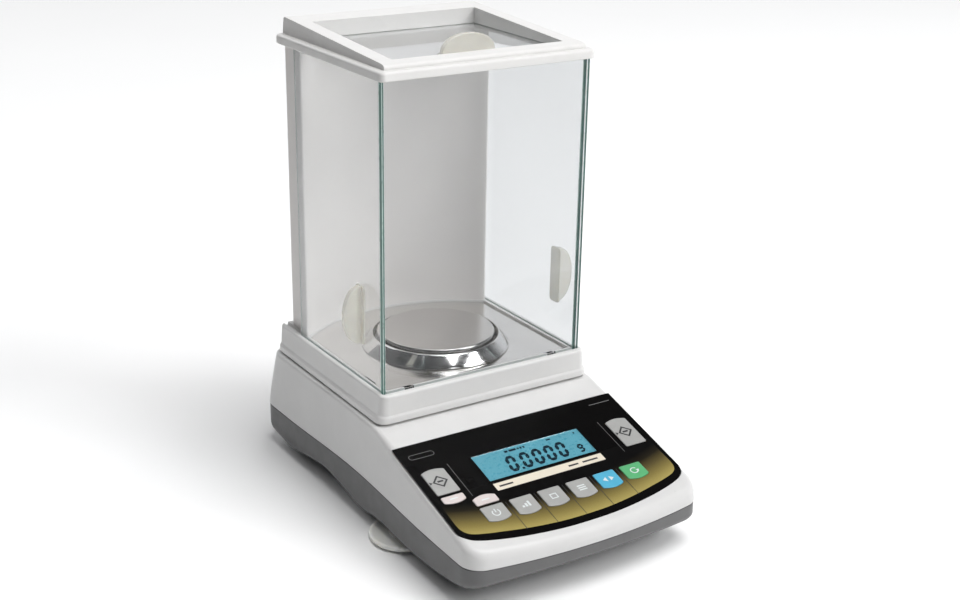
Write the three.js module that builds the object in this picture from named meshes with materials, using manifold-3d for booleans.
// Analytical balance with a glass draft shield.
// Units: millimetres. +Z up, front of the instrument toward -Y, origin on the
// table surface under the middle of the footprint.
import * as THREE from 'three';
import { mergeVertices } from 'three/addons/utils/BufferGeometryUtils.js';
import Module from 'manifold-3d';

const wasm = await Module();
wasm.setup();

// ---------------------------------------------------------------- dimensions
const PAN_Y = 52.0;            // pan and spindle axis
const SPLIT_Z = 35.3;          // seam between the two housing shells, at the ends
const SPLIT_ARCH = 3.4;        // rise of the seam half way along the side
const DECK_Z = 87.3;           // flat top of the upper housing
const SLOPE_Y = -26.0;         // where the deck starts to fall toward the user
const SLOPE = 0.2811;          // fall of the control panel (15.7 degrees)
const FRONT_Y = -174.8;        // front of the housing on the centre line
const FRONT_SIDE_Y = -164.0;   // where the front arc meets the sides
const FRONT_R = 17.0;          // plan radius of the front corners
const REAR_Y = 174.8;          // rear of the housing at the seam
const REAR_R = 20.0;           // plan radius of the rear corners
const WALL = 2.8;              // moulded wall thickness
const SEAM_GAP = 0.35;

const PLINTH_Z0 = 88.5, PLINTH_Z1 = 111.2;
const PLINTH_HW0 = 96.8, PLINTH_HW1 = 93.9;
const PLINTH_Y0 = -27.0, PLINTH_Y1 = 151.0;
const GLASS_Z0 = 108.7, GLASS_Z1 = 351.1;
const DOOR_X0 = 86.3, DOOR_X1 = 89.8;      // side door glass, inner and outer face
const DOOR_Y0 = -16.2, DOOR_Y1 = 118.0;
const FRONT_GLASS_Y0 = -20.7, FRONT_GLASS_Y1 = -16.7, FRONT_GLASS_HW = 90.1;
const CAP_Z0 = 347.9, CAP_Z1 = 355.1, CAP_HW = 93.0, CAP_Y0 = -24.5, CAP_Y1 = 144.5;
const WEDGE_HW = 87.0, WEDGE_Y0 = -19.1, WEDGE_Y1 = 141.5, WEDGE_REAR_Z = 367.9, WEDGE_FRONT_Z = 359.5;
const WELL_HW = 73.8, WELL_Y0 = -6.6, WELL_Y1 = 116.7;
const LID_Z0 = 350.35, LID_Z1 = 353.8, LID_HW = 79.0, LID_Y0 = -10.0, LID_Y1 = 120.5;
const COLUMN_HW = 85.6, COLUMN_REAR_Y = 148.0, COLUMN_FRONT_Y = 110.5, COLUMN_ARC_Y = 142.6;
const PLATE_Z0 = 108.1, PLATE_Z1 = 109.4;
const PAN_TOP_Z = 122.0, PAN_R = 45.0, RING_R = 58.6;
const HANDLE_LEN = 47, HANDLE_OUT = 16;
const KEY_PROUD = 0.5;
const FOOT_X = 84.3, FOOT_Y = -42.6, FOOT_R = 27.7;
const REAR_FOOT_X = 74, REAR_FOOT_Y = 128;

// ---------------------------------------------------------------- materials
const mat = (color, roughness, metalness = 0, opacity = 1) =>
  new THREE.MeshStandardMaterial({ color, roughness, metalness, opacity, transparent: opacity < 1 });
const M = {
  shell: mat(0xdcdcda, 0.42),
  dark: mat(0x55565a, 0.55),
  plinth: mat(0xe2e1de, 0.4),
  glass: mat(0xdff2ee, 0.05, 0, 0.25),
  steel: mat(0xb9b6ae, 0.32, 1),
  chrome: mat(0xd8d8d8, 0.12, 1),
  handle: mat(0xe9e6d8, 0.35),
  overlay: mat(0x0c0c0d, 0.3),
  lcd: mat(0x62b5d0, 0.3),
  lens: mat(0xffffff, 0.05, 0, 0.25),
  keyGrey: mat(0xa6a6a4, 0.45),
  keyPale: mat(0xe2dad6, 0.45),
  keyBlue: mat(0x2f9fd0, 0.4),
  keyGreen: mat(0x3fa257, 0.4),
  board: mat(0x2f6b45, 0.6),
  circuit: mat(0xc9a66b, 0.6),
  black: mat(0x1a1a1a, 0.6),
  aluminium: mat(0xb4b6b8, 0.45, 1),
  copper: mat(0xb87346, 0.35, 1),
  magnet: mat(0x6e7072, 0.4, 1),
  brass: mat(0xc2a14d, 0.35, 1),
  rubber: mat(0x26262a, 0.9),
  vial: mat(0xd7e65a, 0.1, 0, 0.5),
};

// ---------------------------------------------------------------- helpers
function clean(geometry) {
  const g = geometry.index ? geometry.clone() : geometry.clone();
  g.deleteAttribute('normal');
  g.deleteAttribute('uv');
  return mergeVertices(g, 1e-4);
}
function solid(geometry) {
  const g = clean(geometry);
  return new wasm.Manifold(new wasm.Mesh({
    numProp: 3,
    vertProperties: new Float32Array(g.attributes.position.array),
    triVerts: new Uint32Array(g.index.array),
  }));
}
function toGeometry(manifold) {
  const m = manifold.getMesh();
  const g = new THREE.BufferGeometry();
  g.setAttribute('position', new THREE.BufferAttribute(new Float32Array(m.vertProperties), 3));
  g.setIndex(new THREE.BufferAttribute(new Uint32Array(m.triVerts), 1));
  g.computeVertexNormals();
  return g;
}
const cut = (base, ...tools) => toGeometry(tools.reduce((s, t) => s.subtract(solid(t)), solid(base)));
const join = (base, ...tools) => toGeometry(tools.reduce((s, t) => s.add(solid(t)), solid(base)));

const box = (x0, x1, y0, y1, z0, z1) =>
  new THREE.BoxGeometry(x1 - x0, y1 - y0, z1 - z0).translate((x0 + x1) / 2, (y0 + y1) / 2, (z0 + z1) / 2);
// upright cylinder
const post = (x, y, z0, z1, r, n = 20) =>
  new THREE.CylinderGeometry(r, r, z1 - z0, n).rotateX(Math.PI / 2).translate(x, y, (z0 + z1) / 2);
const coneZ = (x, y, z0, z1, r0, r1, n = 20) =>
  new THREE.CylinderGeometry(r1, r0, z1 - z0, n).rotateX(Math.PI / 2).translate(x, y, (z0 + z1) / 2);
// body of revolution about a vertical axis; profile [radius, height] closes on the axis or on itself
function turned(x, y, profile, n = 32) {
  const first = profile[0], last = profile[profile.length - 1];
  let p = profile.slice();
  let area = 0;
  for (let i = 0; i < p.length; i++) { const a = p[i], b = p[(i + 1) % p.length]; area += a[0] * b[1] - b[0] * a[1]; }
  if (area < 0) p.reverse();
  if (p.every(([r]) => r > 0) && (first[0] !== last[0] || first[1] !== last[1])) p.push(p[0]);
  return new THREE.LatheGeometry(p.map(([r, z]) => new THREE.Vector2(r, z)), n).rotateX(Math.PI / 2).translate(x, y, 0);
}
// plan polygon pulled up, with through holes
function prism(points, z0, z1) {
  const s = new THREE.Shape(points.map(([x, y]) => new THREE.Vector2(x, y)));
  return new THREE.ExtrudeGeometry(s, { depth: z1 - z0, bevelEnabled: false }).translate(0, 0, z0);
}
function slab(points, z0, z1, holes = []) {
  const plain = prism(points, z0, z1);
  return holes.length ? cut(plain, ...holes.map((h) => prism(h, z0 - 1, z1 + 1))) : plain;
}
// polygon in the YZ plane pulled along X
function across(points, x0, x1) {
  const s = new THREE.Shape(points.map(([y, z]) => new THREE.Vector2(y, z)));
  const g = new THREE.ExtrudeGeometry(s, { depth: x1 - x0, bevelEnabled: false });
  g.applyMatrix4(new THREE.Matrix4().set(0, 0, 1, x0, 1, 0, 0, 0, 0, 1, 0, 0, 0, 0, 0, 1));
  return g;
}
function roundRect(x0, x1, y0, y1, r, n = 4) {
  const pts = [];
  const c = [[x1 - r, y0 + r, -90], [x1 - r, y1 - r, 0], [x0 + r, y1 - r, 90], [x0 + r, y0 + r, 180]];
  for (const [cx, cy, a] of c)
    for (let i = 0; i <= n; i++) {
      const t = THREE.MathUtils.degToRad(a + 90 * i / n);
      pts.push([cx + r * Math.cos(t), cy + r * Math.sin(t)]);
    }
  return pts;
}
function circle(x, y, r, n = 20) {
  const pts = [];
  for (let i = 0; i < n; i++) pts.push([x + r * Math.cos(2 * Math.PI * i / n), y + r * Math.sin(2 * Math.PI * i / n)]);
  return pts;
}
const lerp = (a, b, t) => a + (b - a) * t;
function curve(table, y) {               // smooth interpolation in a [y, value] table
  if (y <= table[0][0]) return table[0][1];
  for (let i = 1; i < table.length; i++)
    if (y <= table[i][0]) {
      const t = (y - table[i - 1][0]) / (table[i][0] - table[i - 1][0]);
      return lerp(table[i - 1][1], table[i][1], t * t * (3 - 2 * t));
    }
  return table[table.length - 1][1];
}

// ---------------------------------------------------------------- housing form
const topZ = (y) => (y > SLOPE_Y ? DECK_Z : DECK_Z - (SLOPE_Y - y) * SLOPE);
const seamZ = (y) => SPLIT_Z + SPLIT_ARCH * Math.sin(Math.PI * THREE.MathUtils.clamp((y + 150) / 300, 0, 1)) ** 2;
// lowest line of the lower shell: front keel, scalloped arch between two skirts
const KEEL = [[-174.8, 24.6], [-163, 19.6], [-150, 15.0], [-134, 11.2], [-116, 9.0], [-95, 7.6], [-70, 7.1],
  [-40, 8.2], [-18, 7.4], [-3, 4.9], [10, 5.2], [38, 9.9], [62, 13.0], [92, 10.3], [116, 6.6], [132, 5.6], [150, 7.9], [166, 10.2], [174.8, 15.0]];
const keelZ = (y) => {
  const t = KEEL;
  if (y <= t[0][0]) return t[0][1];
  for (let i = 1; i < t.length; i++) if (y <= t[i][0]) return lerp(t[i - 1][1], t[i][1], (y - t[i - 1][0]) / (t[i][0] - t[i - 1][0]));
  return t[t.length - 1][1];
};
const halfWidth = (y) => curve([[-175, 103.6], [-105, 103.4], [30, 100.4], [120, 101.2], [175, 101.4]], y);
const shoulderR = (y) => curve([[-175, 6.0], [-60, 6.0], [-10, 3.0], [175, 3.0]], y);

// half outline of the housing in plan, rear centre -> left side -> front centre
function halfOutline(inset, rearY, narrow = 0) {
  const pts = [];
  const w = (y) => halfWidth(y) - narrow;
  const sag = FRONT_SIDE_Y - FRONT_Y, hw = halfWidth(FRONT_SIDE_Y) - narrow;
  const R = (hw * hw + sag * sag) / (2 * sag), cy = FRONT_Y + R;
  const rr = Math.max(REAR_R - inset, 3);
  // rear corner
  const xr = w(rearY - REAR_R) - REAR_R, yr = rearY - REAR_R;
  pts.push([0, rearY - inset], [-xr * 0.5, rearY - inset]);
  for (let i = 0; i <= 5; i++) {
    const t = Math.PI / 2 + (Math.PI / 2) * i / 5;
    pts.push([-xr + rr * Math.cos(t), yr + rr * Math.sin(t)]);
  }
  // side
  const xc = hw - FRONT_R, fy = cy - Math.sqrt((R - FRONT_R) ** 2 - xc * xc);
  const stations = [132, 116, 104, 92, 77, 62, 50, 38, 24, 10, -3, -18, SLOPE_Y, -40, -55, -70, -95, -116, -134];
  for (const y of stations) if (y < yr - 4 && y > fy + 3) pts.push([-w(y) + inset, y]);
  // front corner and arc
  const fr = Math.max(FRONT_R - inset, 2);
  const a2 = Math.atan2(fy - cy, -xc) + 2 * Math.PI;
  for (let i = 0; i <= 6; i++) {
    const t = lerp(Math.PI, a2, i / 6);
    pts.push([-xc + fr * Math.cos(t), fy + fr * Math.sin(t)]);
  }
  const Ri = R - inset;
  for (let i = 1; i <= 6; i++) {
    const t = lerp(a2, Math.PI * 1.5, i / 6);
    pts.push([i === 6 ? 0 : Ri * Math.cos(t), cy + Ri * Math.sin(t)]);
  }
  return pts;
}
// solid made of stacked outlines: each level gives its half outline and the height at each y
function stacked(levels) {
  const pos = [], idx = [];
  const n = levels[0].pts.length;               // half outline; ends lie on x = 0
  const ring = 2 * n - 2;
  for (const { pts, z } of levels) {
    for (let i = 0; i < n; i++) pos.push(pts[i][0], pts[i][1], z(pts[i][1]));
    for (let i = n - 2; i >= 1; i--) pos.push(-pts[i][0], pts[i][1], z(pts[i][1]));
  }
  const right = (i) => (i === 0 || i === n - 1 ? i : ring - i);
  for (let k = 0; k + 1 < levels.length; k++)
    for (let i = 0; i < ring; i++) {
      const a = k * ring + i, b = k * ring + (i + 1) % ring, c = a + ring, d = b + ring;
      idx.push(a, b, d, a, d, c);
    }
  const cap = (base, up) => {
    for (let i = 0; i + 1 < n; i++) {
      const a = base + i, b = base + i + 1, c = base + right(i + 1), d = base + right(i);
      const t = [];
      if (i === 0) t.push([a, b, c]);
      else if (i === n - 2) t.push([a, b, d]);
      else t.push([a, b, c], [a, c, d]);
      for (const [p, q, r] of t) up ? idx.push(p, q, r) : idx.push(p, r, q);
    }
  };
  cap(0, false);
  cap((levels.length - 1) * ring, true);
  const g = new THREE.BufferGeometry();
  g.setAttribute('position', new THREE.BufferAttribute(new Float32Array(pos), 3));
  g.setIndex(idx);
  return g;
}
const REAR_TOP_Y = 160.0;     // rear edge of the deck: the rear wall leans forward
const rearAt = (t) => lerp(REAR_Y, REAR_TOP_Y, t ** 1.25);
const sideLean = 1.0;         // how much the side leans in from seam to shoulder
function upperLevels(inset, bottomDrop, topDrop, round) {
  const L = [];
  for (const t of [0, 0.35, 0.7, 1]) {
    const rear = rearAt(t * 0.96);
    L.push({
      pts: halfOutline(inset, rear, sideLean * t),
      z: (y) => lerp(seamZ(y) - (t === 0 ? bottomDrop : 0), topZ(y) - topDrop - (round ? shoulderR(y) : 0.02), t),
    });
  }
  if (round) for (const a of [30, 60, 90]) {
    const s = Math.sin(a * Math.PI / 180), c = 1 - Math.cos(a * Math.PI / 180);
    L.push({
      pts: halfOutline(inset, rearAt(0.96 + 0.04 * s), sideLean).map(([x, y]) => [x, y]),
      z: (y) => topZ(y) - topDrop - shoulderR(y) * (1 - s),
      c,
    });
  }
  return L;
}
function insetPts(pts, amount) {        // move a half outline inward by amount(y)
  const n = pts.length, out = [];
  for (let i = 0; i < n; i++) {
    const p = pts[Math.max(i - 1, 0)], q = pts[Math.min(i + 1, n - 1)];
    let tx = q[0] - p[0], ty = q[1] - p[1];
    if (i === 0 || i === n - 1) { tx = i === 0 ? -1 : 1; ty = 0; }
    const l = Math.hypot(tx, ty), d = amount(pts[i][1]);
    // the outline runs rear -> left -> front, so the inside lies on its left hand
    let x = pts[i][0] - (ty / l) * d, y = pts[i][1] + (tx / l) * d;
    if (i === 0 || i === n - 1) x = 0;
    out.push([Math.min(x, 0), y]);
  }
  return out;
}
function upperSolid() {
  const L = upperLevels(0, 0, 0, true);
  const base = L[3].pts;
  for (let k = 4; k < L.length; k++) { const c = L[k].c; L[k].pts = insetPts(L[k].pts, (y) => shoulderR(y) * c); }
  return stacked(L);
}
const upperInner = () => stacked(upperLevels(WALL, 4, WALL, false));

// control-panel plane: local x = across, y = up the slope, z = outward normal
const PANEL_TOP_Y = -50.5;
const PANEL_ANGLE = Math.atan(SLOPE);
const panelMatrix = new THREE.Matrix4().makeTranslation(0, PANEL_TOP_Y, topZ(PANEL_TOP_Y))
  .multiply(new THREE.Matrix4().makeRotationX(PANEL_ANGLE));
// polygon given as [x, s], s = distance down the slope from the panel's top edge
function onPanel(points, h0, h1, holes = []) {
  const flip = (p) => p.map(([x, s]) => [x, -s]);
  return slab(flip(points), h0, h1, holes.map(flip)).applyMatrix4(panelMatrix);
}
function panelOutline(grow = 0) {
  const p = [[-100 - grow, -grow], [100 + grow, -grow]];
  const right = [[100, 90], [99.6, 95], [97.2, 100], [92.5, 104.2], [84, 107.6], [72, 110.8], [56, 114.0], [36, 116.7], [14, 118.3]];
  for (const [x, s] of right) p.push([x + grow, s + grow * 0.9]);
  for (const [x, s] of right.slice().reverse()) p.push([-x - grow, s + grow * 0.9]);
  return p;
}
const rect = (x0, x1, s0, s1) => [[x0, s0], [x1, s0], [x1, s1], [x0, s1]];
// key outline: straight top, bowed lower edge; bowTop for keys with a bowed upper edge
function keyOutline(x0, x1, s0, s1, bowBottom = 0, bowTop = 0, grow = 0) {
  const pts = [], n = 5;
  x0 -= grow; x1 += grow; s0 -= grow; s1 += grow;
  for (let i = 0; i <= (bowTop ? n : 1); i++) {
    const t = i / (bowTop ? n : 1);
    pts.push([lerp(x0, x1, t), s0 - bowTop * 4 * t * (1 - t)]);
  }
  for (let i = 0; i <= (bowBottom ? n : 1); i++) {
    const t = i / (bowBottom ? n : 1);
    pts.push([lerp(x1, x0, t), s1 + bowBottom * 4 * t * (1 - t)]);
  }
  return pts;
}
const KEYS = [
  // name, x0, x1, s0, s1, bowBottom, bowTop, material
  ['key_tare_left', -93.4, -74.0, 31.6, 56.3, 0, 2.2, M.keyGrey],
  ['key_aux_left', -93.0, -74.4, 59.1, 65.0, 2.2, 0, M.keyPale],
  ['key_tare_right', 74.0, 93.4, 31.6, 60.8, 0, 2.2, M.keyGrey],
  ['key_power_cap', -72.0, -52.8, 69.2, 76.0, 0, 2.6, M.keyPale],
  ['key_1', -72.0, -52.8, 78.6, 92.4, 2.4, 0, M.keyGrey],
  ['key_2', -46.9, -27.9, 78.6, 94.2, 2.4, 0, M.keyGrey],
  ['key_3', -22.3, -3.1, 78.6, 94.8, 2.2, 0, M.keyGrey],
  ['key_4', 3.1, 22.3, 78.6, 94.8, 2.2, 0, M.keyGrey],
  ['key_5', 27.9, 46.9, 78.6, 93.6, 2.2, 0, M.keyBlue],
  ['key_6', 52.8, 72.0, 78.6, 92.2, 2.2, 0, M.keyGreen],
];
const LCD = [-48.5, 48.5, 28.2, 56.2];       // visible display window

// ---------------------------------------------------------------- scene graph
const balance = new THREE.Group();
balance.name = 'analytical_balance';
function add(name, geometry, material, parent = balance) {
  const m = new THREE.Mesh(geometry, material);
  m.name = name;
  parent.add(m);
  return m;
}

// ---- housing shells
{
  const pocket = onPanel(panelOutline(0.35), -1.9, 6);
  const lcdHole = onPanel(rect(-54, 54, 24, 61), -8, 4);
  const spindleHole = post(0, PAN_Y, 70, 100, 11, 20);
  const boltL = post(-60, 100, 70, 100, 2.2, 12), boltR = post(60, 100, 70, 100, 2.2, 12);
  // recess in the leaning rear wall for the connector plate
  const rearBay = box(-62, 62, 150, 190, 44, 74);
  add('upper_housing', cut(upperSolid(), upperInner(), pocket, lcdHole, spindleHole, boltL, boltR, rearBay), M.shell);
}
function lowerOutline(inset, t) { return insetPts(halfOutline(0.25, REAR_Y), () => inset); }
{
  const outer = stacked([
    { pts: lowerOutline(8.0, 0), z: (y) => keelZ(y) },
    { pts: lowerOutline(4.6, 0), z: (y) => keelZ(y) + 1.2 },
    { pts: lowerOutline(2.4, 0), z: (y) => keelZ(y) + 3.6 },
    { pts: lowerOutline(1.0, 0), z: (y) => keelZ(y) + 7.2 },
    { pts: lowerOutline(0, 1), z: (y) => seamZ(y) - SEAM_GAP },
  ]);
  const inner = stacked([
    { pts: lowerOutline(11.0, 0), z: (y) => keelZ(y) + WALL },
    { pts: lowerOutline(4.2, 0), z: (y) => keelZ(y) + WALL + 6.4 },
    { pts: lowerOutline(WALL, 1), z: (y) => seamZ(y) + 4 },
  ]);
  const tools = [inner];
  for (const s of [-1, 1]) tools.push(post(s * FOOT_X, FOOT_Y, 0, 30, 4.4, 18), post(s * REAR_FOOT_X, REAR_FOOT_Y, 0, 30, 2.6, 12));
  for (const [x, y] of [[-70, -120], [70, -120], [-86, 60], [86, 60]]) tools.push(post(x, y, 0, 40, 2.0, 12), post(x, y, 0, keelZ(y) + 1.5, 3.8, 16));
  add('lower_housing', cut(outer, ...tools), M.dark);
}

// ---- draft-shield base
// plan of the chamber floor: straight front and sides, concave-column arc at the rear
function floorPlan(grow) {
  const sag = COLUMN_ARC_Y - COLUMN_FRONT_Y, hw = COLUMN_HW - 1.2;
  const R = (hw * hw + sag * sag) / (2 * sag) - 0.6 + grow, cy = COLUMN_ARC_Y - 0.6 + grow - R;
  const plan = [[-84.0 - grow, -14.2 - grow], [84.0 + grow, -14.2 - grow]];
  for (let i = 0; i <= 12; i++) { const x = lerp(83.4 + grow, -83.4 - grow, i / 12); plan.push([x, cy + Math.sqrt(R * R - x * x)]); }
  return plan;
}
{
  const ring = (hw, y0, y1, r) => {
    const p = roundRect(-hw, hw, y0, y1, r, 4);
    return p;
  };
  const layers = [
    [PLINTH_HW0 - 3.4, PLINTH_Y0 + 3.4, PLINTH_Y1 - 3.4, 6, 87.4],
    [PLINTH_HW0 - 3.4, PLINTH_Y0 + 3.4, PLINTH_Y1 - 3.4, 6, PLINTH_Z0],
    [PLINTH_HW0, PLINTH_Y0, PLINTH_Y1, 8, PLINTH_Z0],
    [PLINTH_HW0, PLINTH_Y0, PLINTH_Y1, 8, 93.4],
    [PLINTH_HW0 - 1.6, PLINTH_Y0 + 1.0, PLINTH_Y1, 7, 95.2],
    [PLINTH_HW1, PLINTH_Y0 + 1.0, PLINTH_Y1, 6, PLINTH_Z1 - 1],
    [PLINTH_HW1 - 0.6, PLINTH_Y0 + 1.6, PLINTH_Y1 - 0.4, 5.6, PLINTH_Z1],
  ];
  const pos = [], idx = [];
  let n = 0;
  for (const [hw, y0, y1, r, z] of layers) { const p = ring(hw, y0, y1, r); n = p.length; for (const [x, y] of p) pos.push(x, y, z); }
  for (let k = 0; k + 1 < layers.length; k++)
    for (let i = 0; i < n; i++) { const a = k * n + i, b = k * n + (i + 1) % n, c = a + n, d = b + n; idx.push(a, b, d, a, d, c); }
  const topBase = (layers.length - 1) * n;
  for (let i = 1; i + 1 < n; i++) { idx.push(0, i + 1, i); idx.push(topBase, topBase + i, topBase + i + 1); }
  const g = new THREE.BufferGeometry();
  g.setAttribute('position', new THREE.BufferAttribute(new Float32Array(pos), 3));
  g.setIndex(idx);
  const tools = [
    box(-88.5, 88.5, -20, 143, 80, 104.6),                       // hollow underside
    prism(floorPlan(0.3), 107.8, 120),                            // bed for the floor plate
    box(-90.3, -85.9, FRONT_GLASS_Y0 + 2, 160, 108.3, 120),             // left door groove, open at the rear
    box(85.9, 90.3, FRONT_GLASS_Y0 + 2, 160, 108.3, 120),
    box(-90.6, 90.6, FRONT_GLASS_Y0 - 0.4, FRONT_GLASS_Y1 + 0.4, 108.3, 120),
    post(0, PAN_Y, 95, 120, 9, 20),
    post(-60, 100, 80, 120, 2.2, 12), post(60, 100, 80, 120, 2.2, 12),
    box(-70, -62, -16.5, -10.7, 100, 120), box(62, 70, -16.5, -10.7, 100, 120),     // notches behind the front glass
    box(-82.3, -80.7, 4.3, 19.7, 100, 120),
  ];
  add('shield_base', cut(g, ...tools), M.plinth);
}

// ---- rear column: outer box with a concave inner face, hollow corners
{
  const sag = COLUMN_ARC_Y - COLUMN_FRONT_Y, hw = COLUMN_HW - 1.2;
  const R = (hw * hw + sag * sag) / (2 * sag), cy = COLUMN_ARC_Y - R;
  const arc = (rad, x) => cy + Math.sqrt(rad * rad - x * x);
  const outline = [[-COLUMN_HW, COLUMN_FRONT_Y]];
  const N = 14;
  const plan = [];
  for (let i = 0; i <= N; i++) { const x = lerp(-hw, hw, i / N); plan.push([x, arc(R, x)]); }
  plan.push([COLUMN_HW, COLUMN_FRONT_Y + 0.4]);
  const corner = (s) => { const out = []; const r = 9, cx = COLUMN_HW - r, c0 = COLUMN_REAR_Y - r;
    for (let i = 0; i <= 4; i++) { const t = (Math.PI / 2) * i / 4; out.push([cx + r * Math.cos(t), c0 + r * Math.sin(t)]); }
    return s > 0 ? out : out.reverse().map(([x, y]) => [-x, y]); };
  plan.push(...corner(1), ...corner(-1), [-COLUMN_HW, COLUMN_FRONT_Y + 0.4]);
  const pocket = (s) => {
    const p = [];
    const xs = [80, 70, 60, 50, 42];
    for (const x of xs) p.push([s * x, Math.min(arc(R, x) + 3.4, COLUMN_REAR_Y - 4.4)]);
    p.push([s * 42, COLUMN_REAR_Y - 3.2], [s * 76, COLUMN_REAR_Y - 3.2], [s * 82.4, COLUMN_REAR_Y - 9.6], [s * 82.4, arc(R, 80) + 3.4]);
    return s > 0 ? p.reverse() : p;
  };
  add('rear_column', slab(plan, PLINTH_Z1 + 0.05, CAP_Z0 - 0.05, [pocket(-1), pocket(1)]), M.shell);
}

// ---- floor plate with its slots and the spindle hole
{
  const slot = (x0, x1, y0, y1) => [[x0, y0], [x1, y0], [x1, y1], [x0, y1]];
  add('chamber_floor_plate', slab(floorPlan(0), PLATE_Z0, PLATE_Z1, [
    circle(0, PAN_Y, 9, 20), slot(-70.3, -61.7, -13.2, -10.4), slot(61.7, 70.3, -13.2, -10.4), slot(-82.6, -80.4, 4, 20),
  ]), M.steel);
}

// ---- draft ring and pan
add('draft_ring', turned(0, PAN_Y, [[58.6, 109.6], [58.6, 110.8], [57.6, 112.0], [51.2, 119.4], [50.4, 119.8], [49.6, 119.5], [49.4, 118.8], [55.0, 112.2], [55.4, 110.6], [55.4, 109.6], [58.6, 109.6]], 40), M.chrome);
const panGroup = new THREE.Group();
balance.add(panGroup);
add('weighing_pan', turned(0, PAN_Y, [[0, PAN_TOP_Z - 2.2], [0, PAN_TOP_Z], [43.8, PAN_TOP_Z], [44.8, PAN_TOP_Z - 0.3], [46.4, PAN_TOP_Z - 1.6], [47.0, PAN_TOP_Z - 3.6],
  [46.2, PAN_TOP_Z - 5.4], [44.8, PAN_TOP_Z - 5.6], [44.6, PAN_TOP_Z - 3.0], [43.2, PAN_TOP_Z - 2.2], [0, PAN_TOP_Z - 2.2]], 40), M.steel, panGroup);
add('pan_carrier', turned(0, PAN_Y, [[0, PAN_TOP_Z - 2.25], [16, PAN_TOP_Z - 2.25], [16, PAN_TOP_Z - 4.4], [6, PAN_TOP_Z - 5.4], [5, 108], [5, 92], [4, 90], [4, 72.5], [0, 72.5]], 20), M.aluminium, panGroup);

// ---- top cap: flange plus wedge-shaped frame round the lid well
{
  const flange = slab(roundRect(-CAP_HW, CAP_HW, CAP_Y0, CAP_Y1, 5, 4), CAP_Z0, CAP_Z1);
  const wedge = across([[WEDGE_Y0, CAP_Z1 - 0.5], [WEDGE_Y1, CAP_Z1 - 0.5], [WEDGE_Y1, WEDGE_REAR_Z - 1.2], [WEDGE_Y1 - 1.4, WEDGE_REAR_Z],
    [WELL_Y0, WEDGE_FRONT_Z], [WEDGE_Y0 + 6, WEDGE_FRONT_Z - 1.2], [WEDGE_Y0 + 1, WEDGE_FRONT_Z - 2.8]], -WEDGE_HW, WEDGE_HW);
  const body = join(flange, wedge);
  const tools = [
    box(-WELL_HW, WELL_HW, WELL_Y0, WELL_Y1, 340, 380),
    box(-LID_HW - 0.5, LID_HW + 0.5, LID_Y0 - 0.4, 160, LID_Z0 - 0.3, LID_Z1 + 0.3),
    box(-90.3, -85.9, FRONT_GLASS_Y0 + 2, 160, 340, GLASS_Z1 + 0.5),
    box(85.9, 90.3, FRONT_GLASS_Y0 + 2, 160, 340, GLASS_Z1 + 0.5),
    box(-90.6, 90.6, FRONT_GLASS_Y0 - 0.4, FRONT_GLASS_Y1 + 0.4, 340, GLASS_Z1 + 0.5),
  ];
  add('top_cap', cut(body, ...tools), M.shell);
}

// ---- glass
add('front_glass', box(-FRONT_GLASS_HW, FRONT_GLASS_HW, FRONT_GLASS_Y0, FRONT_GLASS_Y1, GLASS_Z0, GLASS_Z1), M.glass);
// handle: half-disc grip on a flat base strip; local x = along, y = outward, z = thickness
function handle() {
  const n = 12, pts = [[-HANDLE_LEN / 2 + 0.3, 1.0]];
  for (let i = 1; i < n; i++) {
    const t = Math.PI * (1 - i / n);
    pts.push([(HANDLE_LEN / 2 - 0.3) * Math.cos(t), 1.4 + (HANDLE_OUT - 1.4) * Math.sin(t) ** 0.9]);
  }
  pts.push([HANDLE_LEN / 2 - 0.3, 1.0]);
  const grip = slab(pts.reverse(), -2.4, 2.4);
  const base = slab(roundRect(-HANDLE_LEN / 2, HANDLE_LEN / 2, 0, 1.4, 0.3, 1), -6.5, 6.5);
  return join(base, grip);
}
for (const s of [-1, 1]) {
  const side = s < 0 ? 'left' : 'right';
  const door = new THREE.Group();
  balance.add(door);
  add(`${side}_door_glass`, box(s < 0 ? -DOOR_X1 : DOOR_X0, s < 0 ? -DOOR_X0 : DOOR_X1, DOOR_Y0, DOOR_Y1, GLASS_Z0, GLASS_Z1), M.glass, door);
  const h = handle();
  // along -> Z, outward -> +-X, thickness -> Y
  h.applyMatrix4(new THREE.Matrix4().set(0, s, 0, s * (DOOR_X1 + 0.05), 0, 0, s, 13.0, 1, 0, 0, 164.7, 0, 0, 0, 1));
  add(`${side}_door_handle`, s < 0 ? h : h, M.handle, door);
}
{
  const lid = new THREE.Group();
  balance.add(lid);
  add('top_door_glass', box(-LID_HW, LID_HW, LID_Y0, LID_Y1, LID_Z0, LID_Z1), M.glass, lid);
  const h = handle();
  h.applyMatrix4(new THREE.Matrix4().set(1, 0, 0, 0, 0, 0, -1, 10.4, 0, 1, 0, LID_Z1 + 0.05, 0, 0, 0, 1));
  add('top_door_handle', h, M.handle, lid);
}

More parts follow.
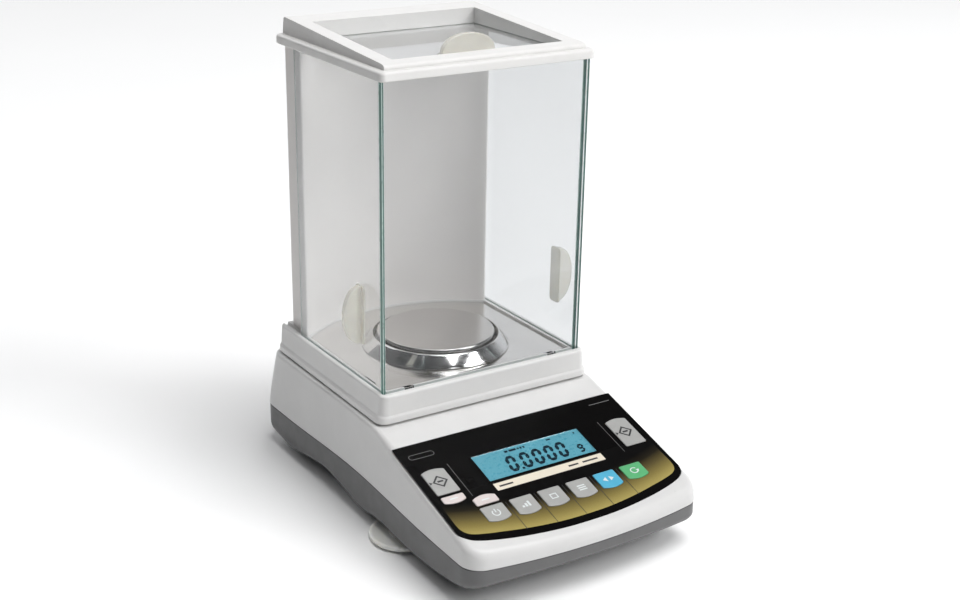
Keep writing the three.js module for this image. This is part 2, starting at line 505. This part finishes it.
// ---- control panel
{
  const keyHoles = KEYS.map(([, x0, x1, s0, s1, b, t]) => keyOutline(x0, x1, s0, s1, b, t, 0.3));
  add('keypad_overlay', onPanel(panelOutline(0), -0.8, 0, [...keyHoles, rect(LCD[0] - 0.3, LCD[1] + 0.3, LCD[2] - 0.3, LCD[3] + 0.3)]), M.overlay);
  add('membrane_circuit', onPanel(panelOutline(-0.8), -1.6, -1.15, [rect(-54, 54, 24, 61)]), M.circuit);
  for (const [name, x0, x1, s0, s1, b, t, m] of KEYS) {
    const g = new THREE.Group();
    balance.add(g);
    add(name, onPanel(keyOutline(x0, x1, s0, s1, b, t), -0.5, KEY_PROUD), m, g);
  }
  add('lcd_window', onPanel(rect(LCD[0], LCD[1], LCD[2], LCD[3]), -0.9, -0.15), M.lens);
  add('lcd_module', onPanel(rect(-51.5, 51.5, 25.4, 59.2), -6.2, -1.2), M.lcd);
  add('display_board', onPanel(rect(-58, 58, 20, 66), -8.4, -6.8), M.board);
}

// ---- main board and rear connectors
add('main_board', box(-66, 66, -116, -8, 26, 27.6), M.board);
{
  // tub sunk in the leaning rear wall: outer block trimmed to the housing form, then hollowed
  const block = toGeometry(solid(box(-61.6, 61.6, 150, 180, 44.4, 73.6)).intersect(solid(upperSolid())));
  add('rear_io_plate', cut(block, box(-59.6, 59.6, 152.2, 190, 46.4, 71.6),
    new THREE.CylinderGeometry(4.6, 4.6, 10, 16).translate(-40, 153, 58),
    box(-15.4, 15.4, 145, 157, 52.6, 63.4), box(32.6, 45.4, 145, 157, 52.6, 63.8)), M.dark);
  const yAxis = (x, y0, y1, z, r, n = 16) => new THREE.CylinderGeometry(r, r, y1 - y0, n).translate(x, (y0 + y1) / 2, z);
  add('dc_power_inlet', cut(yAxis(-40, 141.5, 156.4, 58, 4.2, 16), yAxis(-40, 145, 160, 58, 3.1, 16)), M.black);
  add('serial_port', cut(box(-15, 15, 140, 158.2, 53, 63), box(-9, 9, 152, 160, 54.6, 61.4)), M.steel);
  add('usb_port', cut(box(33, 45, 140, 158.0, 53, 63.4), box(34.7, 43.3, 148, 160, 54.6, 61.8)), M.steel);
}

// ---- weighing cell: electromagnetic force compensation
add('cell_base_plate', box(-46, 46, -2, 142, 17.0, 23.0), M.aluminium);
{
  // fixed frame: rear tower, joined to the front by a bottom web
  const frame = across([[66, 23.4], [140, 23.4], [140, 71], [118, 71], [118, 34], [66, 34]], -21, 21);
  add('cell_frame', cut(frame, box(-12, 12, 92, 150, 40, 80)), M.aluminium);
}
add('cell_receiver', box(-16, 16, 44.5, 59.5, 30, 72.2), M.aluminium, panGroup);
const guide = (z) => cut(join(box(-18, 18, 60.2, 117.7, z, z + 1.6), box(-18, 18, 72, 106, z - 0.8, z + 3.2)), box(-13.5, 13.5, 65, 113, z - 5, z + 8));
add('cell_guide_upper', guide(66.8), M.aluminium);
add('cell_guide_lower', guide(36.4), M.aluminium);
const LEVER_Y = 74, LEVER_Z = 52;              // lever pivot
{
  const lever = new THREE.Group();
  balance.add(lever);
  add('cell_lever', join(box(-8, 8, 61.5, 128, LEVER_Z - 2, LEVER_Z + 2), box(-2.5, 2.5, 126, 131, LEVER_Z - 1.6, LEVER_Z + 1.6)), M.aluminium, lever);
  add('cell_coil', turned(0, 104, [[13.2, 54.05], [15.4, 54.05], [15.4, 63.2], [13.2, 63.2], [13.2, 54.05]], 20), M.copper, lever);
}
add('cell_fulcrum', join(box(-11, 11, 71, 77, 34.05, 48.4), box(-11, -8.6, 71, 77, 48.3, 55), box(8.6, 11, 71, 77, 48.3, 55)), M.aluminium);
add('cell_magnet_pot', join(post(0, 104, 55.6, 65, 11.5, 20), box(-20, 20, 100, 117.9, 64.6, 65.8)), M.magnet);
add('cell_position_sensor', join(box(-6, 6, 131.8, 137, 40.1, 62), box(-6, -3.4, 128.6, 132, 48, 57), box(3.4, 6, 128.6, 132, 48, 57)), M.black);

// ---- levelling feet: threaded stem with a hand wheel, turning on a rubber pad
for (const s of [-1, 1]) {
  const side = s < 0 ? 'left' : 'right';
  const pad = new THREE.Group(), wheel = new THREE.Group();
  balance.add(pad); pad.add(wheel);
  const x = s * FOOT_X, y = FOOT_Y;
  add(`${side}_foot_pad`, turned(x, y, [[0, 0], [20, 0], [21, 0.6], [21, 1.5], [0, 1.5]], 24), M.rubber, pad);
  add(`${side}_foot_wheel`, turned(x, y, [[0, 1.8], [FOOT_R - 0.7, 1.8], [FOOT_R, 2.5], [FOOT_R, 4.3], [FOOT_R - 0.7, 4.8], [8, 5.0], [0, 5.0]], 28), M.handle, wheel);
  add(`${side}_foot_stem`, post(x, y, 5.05, 33, 3.9, 18), M.steel, wheel);
  add(`${side}_foot_nut`, cut(post(x, y, 13.4, 24, 8, 6), post(x, y, 10, 30, 4.4, 18)), M.brass);
  add(`${side}_rear_foot`, turned(s * REAR_FOOT_X, REAR_FOOT_Y, [[0, 0], [8, 0], [8.6, 0.8], [8.6, 5.0], [2.3, 5.2], [2.3, 11.5], [0, 11.5]], 16), M.rubber);
}

// ---- fasteners
[[-70, -120], [70, -120], [-86, 60], [86, 60]].forEach(([x, y], i) => {
  const z = keelZ(y);
  add(`case_screw_${i + 1}`, turned(x, y, [[0, z - 0.4], [2.6, z - 0.4], [3.3, z + 0.3], [3.3, z + 1.4], [1.7, z + 1.4], [1.7, z + 20], [0, z + 20]], 8), M.steel);
});

export default balance;
